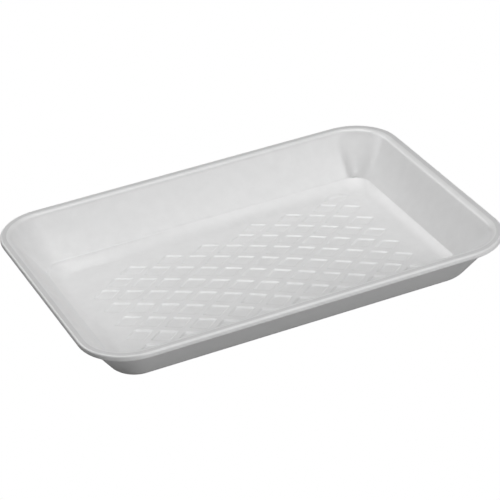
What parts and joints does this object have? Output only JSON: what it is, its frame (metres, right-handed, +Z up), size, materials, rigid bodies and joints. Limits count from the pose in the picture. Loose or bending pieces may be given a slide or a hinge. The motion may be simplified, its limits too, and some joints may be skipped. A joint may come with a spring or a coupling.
{
  "type": "foam food tray",
  "caption": "Shallow rectangular foam tray with flared walls, a turned-out rim and a floor embossed with diamonds, for packing fresh food.",
  "frame": {"origin": "on the table under the middle of the rim's outline, at the height of the flat band that the tray stands on", "axes": "+X along the long side, +Y across to the back, +Z up out of the tray"},
  "size_m": [0.21, 0.149, 0.0257],
  "materials": {
    "white_foam": "satin white foam"
  },
  "bodies": {
    "root": {"foam_tray": "white_foam"}
  },
  "joints": []
}
